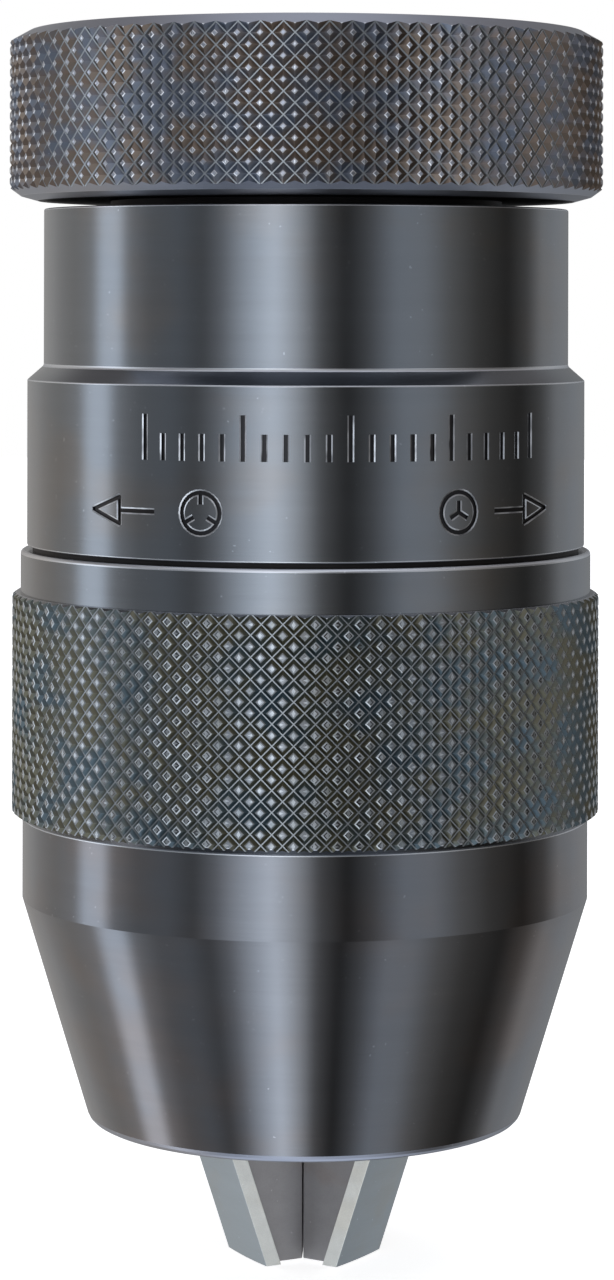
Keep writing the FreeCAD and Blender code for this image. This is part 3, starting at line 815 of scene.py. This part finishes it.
def threadTree():
    graph, size = newTree("thread", {
        "Radius": "Float", "Pitch": "Float", "Turns": "Float", "Depth": "Float", "Base": "Float",
        "Crest": "Float", "Foot": "Float", "Finish": "Material"})
    sockets = {"Resolution": 64, "Rotations": size["Turns"], "Start Radius": size["Radius"],
               "End Radius": size["Radius"], "Height": size["Turns"] * size["Pitch"]}
    spiral = graph.add("GeometryNodeCurveSpiral", {}, sockets)
    spiral = graph.add("GeometryNodeSetCurveNormal", {"mode": "Z_UP"}, {"Curve": spiral})
    # the ridge's section, wide at the wall and narrow at its crest
    corners = {}
    section = ((0, "Base", 0.5), (1, "Crest", 0.5), (1, "Crest", -0.5), (0, "Base", -0.5))
    for number, (depth, width, way) in enumerate(section, start=1):
        spot = {"X": size["Depth"] * depth, "Y": size[width] * way}
        corners[f"Point {number}"] = graph.add("ShaderNodeCombineXYZ", {}, spot)
    ridge = graph.add("GeometryNodeCurvePrimitiveQuadrilateral", {"mode": "POINTS"}, corners)
    sockets = {"Curve": spiral, "Profile Curve": ridge, "Fill Caps": True}
    thread = graph.add("GeometryNodeCurveToMesh", {}, sockets)
    foot = graph.add("ShaderNodeCombineXYZ", {}, {"Z": size["Foot"]})
    thread = graph.add("GeometryNodeTransform", {}, {"Geometry": thread, "Translation": foot})
    thread = graph.add("GeometryNodeRealizeInstances", {}, {"Geometry": thread})
    sockets = {"Geometry": thread, "Material": size["Finish"]}
    thread = graph.add("GeometryNodeSetMaterial", {}, sockets)
    graph.add("NodeGroupOutput", {}, {"Mesh": thread})
    return graph.tree


def spindleThread():
    # the ridge of a half-inch thread with twenty turns to the inch, let into the wall of the hole
    s = {"wall": 6.45, "crest": 5.6, "pitch": 1.27, "turns": 10.2, "base": 1.2, "tip": 0.22,
         "topGap": 0.9}
    foot = -(s["topGap"] + s["turns"] * s["pitch"])
    values = {"Radius": s["wall"] * mm, "Pitch": s["pitch"] * mm, "Turns": s["turns"],
              "Depth": (s["wall"] - s["crest"]) * mm, "Base": s["base"] * mm,
              "Crest": s["tip"] * mm, "Foot": foot * mm, "Finish": finishes["machinedSteel"]}
    thread = runTree("spindleThread", threadTree(), values)
    bm = bmesh.new()
    bm.from_mesh(thread.data)
    bmesh.ops.recalc_face_normals(bm, faces=bm.faces)
    bm.to_mesh(thread.data)
    bm.free()
    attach(thread, "root")
    print("piece: spindleThread", len(thread.data.polygons), "faces")


spindleThread()

finishOf = {
    "chuck_body": "machinedSteel", "lower_race": "raceSteel", "upper_race": "raceSteel",
    "bearing_balls": "ballSteel", "ball_cage": "bronze", "rear_bush": "bronze",
    "front_bush": "bronze", "dust_seal": "felt", "friction_washer": "bronze",
    "jaw_guide": "machinedSteel", "guide_key_pins": "jawSteel",
    "guide_retaining_ring": "jawSteel", "feed_screw": "machinedSteel",
    "jaw_carrier": "machinedSteel",
}
for node, finish in finishOf.items():
    mesh = frame["nodes"][node].data
    mesh.materials.clear()
    mesh.materials.append(finishes[finish])
print("finished CAD parts:", len(finishOf))


def floor():
    s = {"drop": 0.4 * mm, "size": 3.0, "colour": colour(0.80, 0.80, 0.80), "glow": 0.80,
         "roughness": 0.9}
    mesh = bpy.data.meshes.new("floor")
    half = s["size"] / 2
    level = cadBox[0].z - s["drop"]
    corners = [(x * half, y * half, level) for x, y in ((-1, -1), (1, -1), (1, 1), (-1, 1))]
    mesh.from_pydata(corners, [], [(0, 1, 2, 3)])
    paper, graph, shader = newMaterial("paper")
    shader.inputs["Base Color"].default_value = s["colour"]
    shader.inputs["Roughness"].default_value = s["roughness"]
    shader.inputs["Emission Color"].default_value = colour(1, 1, 1)
    shader.inputs["Emission Strength"].default_value = s["glow"]
    # from below, the floor lets the part be seen
    under = graph.add("ShaderNodeNewGeometry", {}, {}, "Backfacing")
    clear = graph.add("ShaderNodeBsdfTransparent", {}, {})
    sockets = {0: under, 1: Wire(graph, shader.outputs[0]), 2: clear}
    surface = graph.add("ShaderNodeMixShader", {}, sockets)
    output = paper.node_tree.nodes["Material Output"]
    paper.node_tree.links.new(surface.socket, output.inputs["Surface"])
    finishes["paper"] = paper
    sheet = objectFrom("floor", mesh, ["paper"])
    sheet.visible_glossy = False


def backdrop():
    # what the camera sees behind the part is plain white
    s = {"radius": 4.0, "glow": 1.0}
    mesh = bpy.data.meshes.new("backdrop")
    bm = bmesh.new()
    bmesh.ops.create_uvsphere(bm, u_segments=48, v_segments=24, radius=s["radius"])
    bmesh.ops.reverse_faces(bm, faces=bm.faces)
    bm.to_mesh(mesh)
    bm.free()
    white, graph = newMaterial("backdropWhite")[:2]
    white.node_tree.nodes.clear()
    sockets = {"Color": colour(1, 1, 1), "Strength": s["glow"]}
    glow = graph.add("ShaderNodeEmission", {}, sockets)
    graph.add("ShaderNodeOutputMaterial", {}, {"Surface": glow})
    finishes["backdropWhite"] = white
    dome = objectFrom("backdrop", mesh, ["backdropWhite"])
    for ray in ("diffuse", "glossy", "transmission", "volume_scatter", "shadow"):
        setattr(dome, f"visible_{ray}", False)


def studioLight():
    # soft bands of light and shade round the room, as tall softboxes and black flags give
    s = {
        "strength": 3.0, "nearness": 4.7, "turned": 2.1, "redTint": 0.08, "blueTint": 0.10,
        "overhead": colour(0.09, 0.085, 0.085), "overheadFrom": 0.32, "overheadTo": 0.60,
        "ceiling": colour(0.36, 0.37, 0.40), "ceilingFrom": 0.72, "ceilingTo": 0.90,
        "below": colour(0.34, 0.37, 0.42), "belowFrom": 0.80, "belowTo": 0.95,
    }
    # where each band shows on a round part, in degrees from its middle, its level and its tint
    bands = [
        (-84, 0.34, -0.1), (-70, 0.58, -0.3), (-58, 0.55, -0.6), (-51, 0.70, -0.2),
        (-47.5, 1.85, 0.8), (-43, 1.90, 0.8), (-40, 0.62, 0.2), (-34, 0.36, 0.3),
        (-27, 0.34, 0.8), (-21.5, 0.20, 0.2), (-17, 0.50, 0.5), (-11, 1.5, 0.8),
        (-6.5, 2.35, 0.7), (-2, 1.35, 0.3), (2.5, 0.28, -0.2), (8, 0.05, -0.4),
        (13, 0.24, 0.2), (19, 0.68, 0.8), (25, 0.66, 0.5), (31, 0.36, -0.4),
        (38, 0.16, -0.9), (47, 0.06, -0.9), (54, 0.20, -0.5), (60, 0.56, 0.0),
        (68, 0.50, 0.5), (84, 0.20, 0.3),
    ]
    stops = []
    for angle, level, tint in bands:
        # a round mirror turns light by twice the angle, and a little more for a near viewer
        seen = 2 * angle + s["nearness"] * math.sin(math.radians(angle)) + s["turned"]
        level = level / s["strength"]
        warm, cold = 1 - s["redTint"] * tint, 1 + s["blueTint"] * tint
        stops.append(((seen + 180) / 360, (level * warm, level, level * cold)))
    world = bpy.data.worlds.new("studio")
    bpy.context.scene.world = world
    world.use_nodes = True
    graph = Graph(world.node_tree)
    direction = graph.add("ShaderNodeTexCoord", {}, {}, "Generated")
    x = graph.add("ShaderNodeSeparateXYZ", {}, {0: direction}, "X")
    y = graph.other(x, "Y")
    z = graph.other(x, "Z")
    around = graph.add("ShaderNodeMath", {"operation": "ARCTAN2"}, {0: x, 1: y * -1})
    ramp = graph.add("ShaderNodeValToRGB", {"stops": stops}, {"Fac": around / (2 * math.pi) + 0.5})
    # less light from steeply above, with a ceiling lamp overhead and pale paper below
    overhead = z.between(s["overheadFrom"], s["overheadTo"])
    light = graph.mix(overhead, ramp, s["overhead"])
    light = graph.mix(z.between(s["ceilingFrom"], s["ceilingTo"]), light, s["ceiling"])
    light = graph.mix((z * -1).between(s["belowFrom"], s["belowTo"]), light, s["below"])
    background = world.node_tree.nodes["Background"]
    world.node_tree.links.new(light.socket, background.inputs["Color"])
    background.inputs["Strength"].default_value = s["strength"]


def camera():
    s = {"distance": 0.308, "height": -0.0221, "lens": 102.5, "film": 36.0,
         "azimuth": math.radians(2.1), "roll": math.radians(-0.13),
         "frameWidth": 614, "frameHeight": 1280, "eyeRow": 295.5, "axisColumn": 306.1}
    data = bpy.data.cameras.new("camera")
    data.lens = s["lens"]
    data.sensor_fit = "VERTICAL"
    data.sensor_height = s["film"]
    data.sensor_width = s["film"]
    data.shift_y = -(s["frameHeight"] / 2 - s["eyeRow"]) / s["frameHeight"]
    data.shift_x = (s["frameWidth"] / 2 - s["axisColumn"]) / s["frameHeight"]
    data.clip_start = 0.01
    view = bpy.data.objects.new("camera", data)
    bpy.context.scene.collection.objects.link(view)
    angle = s["azimuth"]
    view.location = (s["distance"] * math.sin(angle), -s["distance"] * math.cos(angle), s["height"])
    view.rotation_euler = (math.pi / 2, s["roll"], angle)
    bpy.context.scene.camera = view


floor()
studioLight()
backdrop()
camera()
bpy.context.scene.view_settings.view_transform = "Standard"
print("studio and camera ready")
